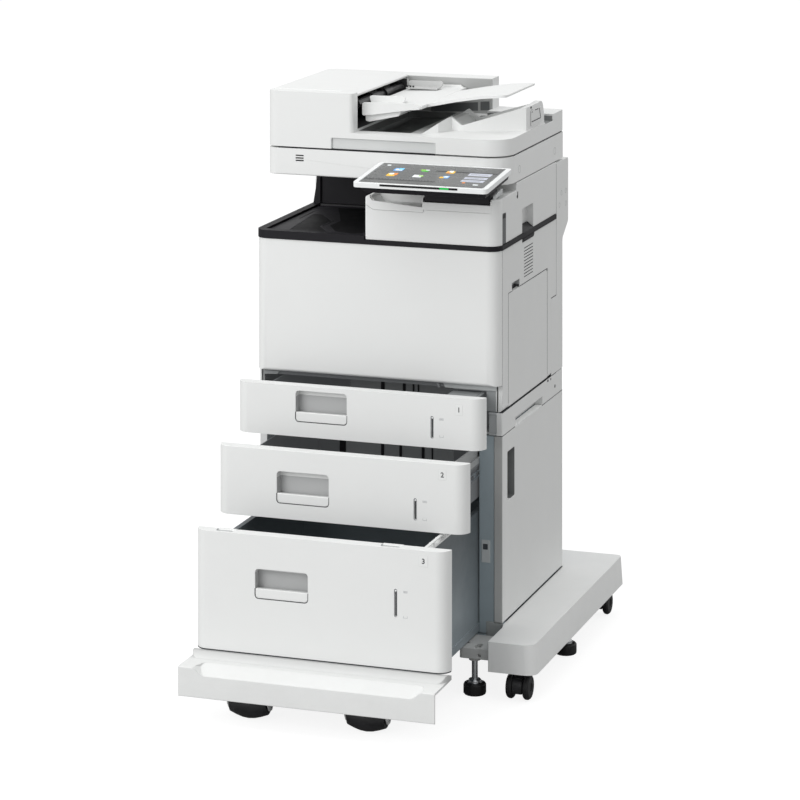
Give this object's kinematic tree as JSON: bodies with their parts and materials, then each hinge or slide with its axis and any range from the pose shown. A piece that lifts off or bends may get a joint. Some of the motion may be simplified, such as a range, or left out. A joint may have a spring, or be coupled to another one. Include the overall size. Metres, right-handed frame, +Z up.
{
  "type": "photocopier",
  "caption": "Floor-standing office copier: printer body with scanner and document feeder on a paper cabinet, paper drawers standing open, touch panel, stabiliser base with casters and feet.",
  "frame": {"origin": "bottom centre of the bounding box, on the floor", "axes": "+Z up, front with the drawers and the operating panel towards -Y, +X to the right seen from the front"},
  "size_m": [0.614, 0.978, 1.14],
  "materials": {
    "light_plastic": "fine texture, satin",
    "grey_plastic": "fine texture, satin",
    "black_plastic": "satin",
    "dark_plastic": "satin",
    "frame_steel": "satin coated sheet steel",
    "cast_grey": "satin grey",
    "caster_black": "moulded",
    "foot_black": "moulded, bolt plated",
    "platen": "polished",
    "screen": "gloss",
    "toner_y": "satin",
    "toner_m": "satin",
    "toner_c": "satin",
    "toner_k": "satin",
    "roller_rubber": "satin"
  },
  "bodies": {
    "body": {"main_frame": "dark_plastic", "left_cover": "light_plastic", "rear_cover": "grey_plastic", "right_upper_cover": "grey_plastic", "output_tray": "black_plastic", "control_housing": "light_plastic", "panel_bracket": "black_plastic", "fuser_unit": "dark_plastic", "transfer_belt_unit": "black_plastic", "toner_yellow": "toner_y", "toner_magenta": "toner_m", "toner_cyan": "toner_c", "toner_black": "toner_k", "scanner_base": "light_plastic", "platen_glass": "platen", "cabinet_frame": "frame_steel", "joining_ring": "grey_plastic", "outrigger_cover": "grey_plastic", "foot_bracket": "cast_grey"},
    "front_cover": {"front_cover": "light_plastic"},
    "right_door": {"right_door": "grey_plastic"},
    "bypass_tray": {"bypass_tray": "grey_plastic"},
    "control_panel": {"control_panel": "light_plastic", "touch_screen": "screen"},
    "scan_carriage": {"scan_carriage": "black_plastic"},
    "document_feeder": {"adf_base": "light_plastic"},
    "feeder_cover": {"feeder_cover": "light_plastic"},
    "feed_tray": {"feed_tray": "light_plastic"},
    "guide_front": {"guide_front": "light_plastic"},
    "guide_rear": {"guide_rear": "grey_plastic"},
    "output_stopper": {"output_stopper": "light_plastic"},
    "pickup_roller": {"pickup_roller": "roller_rubber"},
    "drawer_1": {"drawer_1_front": "light_plastic", "drawer_1_tray": "dark_plastic"},
    "drawer_2": {"drawer_2_front": "light_plastic", "drawer_2_tray": "dark_plastic"},
    "drawer_3": {"drawer_3_front": "light_plastic", "drawer_3_box": "dark_plastic", "step_cover": "light_plastic"},
    "release_1": {"drawer_1_button": "light_plastic"},
    "level_1": {"drawer_1_indicator": "light_plastic"},
    "release_2": {"drawer_2_button": "light_plastic"},
    "level_2": {"drawer_2_indicator": "light_plastic"},
    "release_3": {"drawer_3_button": "light_plastic"},
    "level_3": {"drawer_3_indicator": "light_plastic"},
    "roller_left": {"roller_left": "roller_rubber"},
    "roller_right": {"roller_right": "roller_rubber"},
    "cabinet_side_door": {"cabinet_side_door": "grey_plastic"},
    "foot_fr": {"foot_fr": "foot_black"},
    "caster_fr_swivel": {"caster_fr_fork": "black_plastic"},
    "caster_fr_wheels": {"caster_fr_wheels": "caster_black"},
    "foot_fl": {"foot_fl": "foot_black"},
    "caster_fl_swivel": {"caster_fl_fork": "black_plastic"},
    "caster_fl_wheels": {"caster_fl_wheels": "caster_black"},
    "foot_rr": {"foot_rr": "foot_black"},
    "caster_rr_swivel": {"caster_rr_fork": "black_plastic"},
    "caster_rr_wheels": {"caster_rr_wheels": "caster_black"},
    "foot_rl": {"foot_rl": "foot_black"},
    "caster_rl_swivel": {"caster_rl_fork": "black_plastic"},
    "caster_rl_wheels": {"caster_rl_wheels": "caster_black"}
  },
  "joints": [
    {"name": "drawer_1_slide", "type": "slide", "parent": "body", "child": "drawer_1", "axis": [0, -1, 0], "range_m": [-0.104, 0.25]},
    {"name": "drawer_2_slide", "type": "slide", "parent": "body", "child": "drawer_2", "axis": [0, -1, 0], "range_m": [-0.207, 0.145]},
    {"name": "drawer_3_slide", "type": "slide", "parent": "body", "child": "drawer_3", "axis": [0, -1, 0], "range_m": [-0.322, 0.05]},
    {"name": "drawer_1_release", "type": "slide", "parent": "drawer_1", "child": "release_1", "axis": [0, 1, 0], "range_m": [0, 0.004], "stiffness_N_per_m": 400},
    {"name": "drawer_1_level", "type": "slide", "parent": "drawer_1", "child": "level_1", "axis": [0, 0, -1], "range_m": [0, 0.034]},
    {"name": "drawer_2_release", "type": "slide", "parent": "drawer_2", "child": "release_2", "axis": [0, 1, 0], "range_m": [0, 0.004], "stiffness_N_per_m": 400},
    {"name": "drawer_2_level", "type": "slide", "parent": "drawer_2", "child": "level_2", "axis": [0, 0, -1], "range_m": [0, 0.034]},
    {"name": "drawer_3_release", "type": "slide", "parent": "drawer_3", "child": "release_3", "axis": [0, 1, 0], "range_m": [0, 0.004], "stiffness_N_per_m": 400},
    {"name": "drawer_3_level", "type": "slide", "parent": "drawer_3", "child": "level_3", "axis": [0, 0, -1], "range_m": [0, 0.034]},
    {"name": "roller_left_spin", "type": "hinge", "parent": "drawer_3", "child": "roller_left", "pos_m": [-0.186, -0.417, 0.0278], "axis": [1, 0, 0], "continuous": true},
    {"name": "roller_right_spin", "type": "hinge", "parent": "drawer_3", "child": "roller_right", "pos_m": [0.051, -0.417, 0.0278], "axis": [1, 0, 0], "continuous": true},
    {"name": "front_cover_hinge", "type": "hinge", "parent": "body", "child": "front_cover", "pos_m": [-0.049, -0.08, 0.593], "axis": [1, 0, 0], "range_deg": [0, 85]},
    {"name": "right_door_hinge", "type": "hinge", "parent": "body", "child": "right_door", "pos_m": [0.1985, 0.112, 0.539], "axis": [0, 1, 0], "range_deg": [0, 40]},
    {"name": "bypass_tray_hinge", "type": "hinge", "parent": "right_door", "child": "bypass_tray", "pos_m": [0.2027, 0.112, 0.5358], "axis": [0, 1, 0], "range_deg": [0, 50]},
    {"name": "cabinet_side_door_hinge", "type": "hinge", "parent": "body", "child": "cabinet_side_door", "pos_m": [0.204, 0.365, 0.3], "axis": [0, 0, 1], "range_deg": [0, 80]},
    {"name": "panel_tilt", "type": "hinge", "parent": "body", "child": "control_panel", "pos_m": [0.119, -0.091, 0.966], "axis": [1, 0, 0], "range_deg": [0, 30]},
    {"name": "scan_carriage_slide", "type": "slide", "parent": "body", "child": "scan_carriage", "axis": [1, 0, 0], "range_m": [0, 0.33]},
    {"name": "document_feeder_hinge", "type": "hinge", "parent": "body", "child": "document_feeder", "pos_m": [-0.049, 0.37, 1.03], "axis": [-1, 0, 0], "range_deg": [0, 70]},
    {"name": "feeder_cover_hinge", "type": "hinge", "parent": "document_feeder", "child": "feeder_cover", "pos_m": [-0.3035, 0.148, 1.133], "axis": [0, -1, 0], "range_deg": [0, 75]},
    {"name": "feed_tray_hinge", "type": "hinge", "parent": "document_feeder", "child": "feed_tray", "pos_m": [-0.095, 0.162, 1.1], "axis": [0, -1, 0], "range_deg": [0, 25]},
    {"name": "guide_front_slide", "type": "slide", "parent": "feed_tray", "child": "guide_front", "axis": [0, 1, 0], "range_m": [0, 0.075]},
    {"name": "guide_rear_slide", "type": "slide", "parent": "feed_tray", "child": "guide_rear", "axis": [0, 1, 0], "range_m": [-0.075, 0]},
    {"name": "output_stopper_hinge", "type": "hinge", "parent": "document_feeder", "child": "output_stopper", "pos_m": [0.2057, 0.175, 1.0676], "axis": [0, 1, 0], "range_deg": [0, 85]},
    {"name": "pickup_roller_spin", "type": "hinge", "parent": "document_feeder", "child": "pickup_roller", "pos_m": [-0.133, 0.162, 1.11], "axis": [0, 1, 0], "continuous": true},
    {"name": "foot_fr_screw", "type": "hinge", "parent": "body", "child": "foot_fr", "pos_m": [0.1746, -0.142, 0.02], "axis": [0, 0, 1], "range_deg": [-720, 720]},
    {"name": "foot_fl_screw", "type": "hinge", "parent": "body", "child": "foot_fl", "pos_m": [-0.2726, -0.142, 0.02], "axis": [0, 0, 1], "range_deg": [-720, 720]},
    {"name": "foot_rr_screw", "type": "hinge", "parent": "body", "child": "foot_rr", "pos_m": [0.2727, 0.159, 0.02], "axis": [0, 0, 1], "range_deg": [-720, 720]},
    {"name": "foot_rl_screw", "type": "hinge", "parent": "body", "child": "foot_rl", "pos_m": [-0.2726, 0.312, 0.02], "axis": [0, 0, 1], "range_deg": [-720, 720]},
    {"name": "caster_fr_swivel", "type": "hinge", "parent": "body", "child": "caster_fr_swivel", "pos_m": [0.267, -0.132, 0.04], "axis": [0, 0, 1], "continuous": true},
    {"name": "caster_fr_roll", "type": "hinge", "parent": "caster_fr_swivel", "child": "caster_fr_wheels", "pos_m": [0.267, -0.146, 0.025], "axis": [1, 0, 0], "continuous": true},
    {"name": "caster_rr_swivel", "type": "hinge", "parent": "body", "child": "caster_rr_swivel", "pos_m": [0.267, 0.456, 0.04], "axis": [0, 0, 1], "continuous": true},
    {"name": "caster_rr_roll", "type": "hinge", "parent": "caster_rr_swivel", "child": "caster_rr_wheels", "pos_m": [0.267, 0.442, 0.025], "axis": [1, 0, 0], "continuous": true},
    {"name": "caster_fl_swivel", "type": "hinge", "parent": "body", "child": "caster_fl_swivel", "pos_m": [-0.219, 0.022, 0.04], "axis": [0, 0, 1], "continuous": true},
    {"name": "caster_fl_roll", "type": "hinge", "parent": "caster_fl_swivel", "child": "caster_fl_wheels", "pos_m": [-0.219, 0.008, 0.025], "axis": [1, 0, 0], "continuous": true},
    {"name": "caster_rl_swivel", "type": "hinge", "parent": "body", "child": "caster_rl_swivel", "pos_m": [-0.249, 0.442, 0.04], "axis": [0, 0, 1], "continuous": true},
    {"name": "caster_rl_roll", "type": "hinge", "parent": "caster_rl_swivel", "child": "caster_rl_wheels", "pos_m": [-0.249, 0.428, 0.025], "axis": [1, 0, 0], "continuous": true}
  ],
  "couplings": [
    {"joint": "guide_rear_slide", "follows": "guide_front_slide", "ratio": -1}
  ]
}
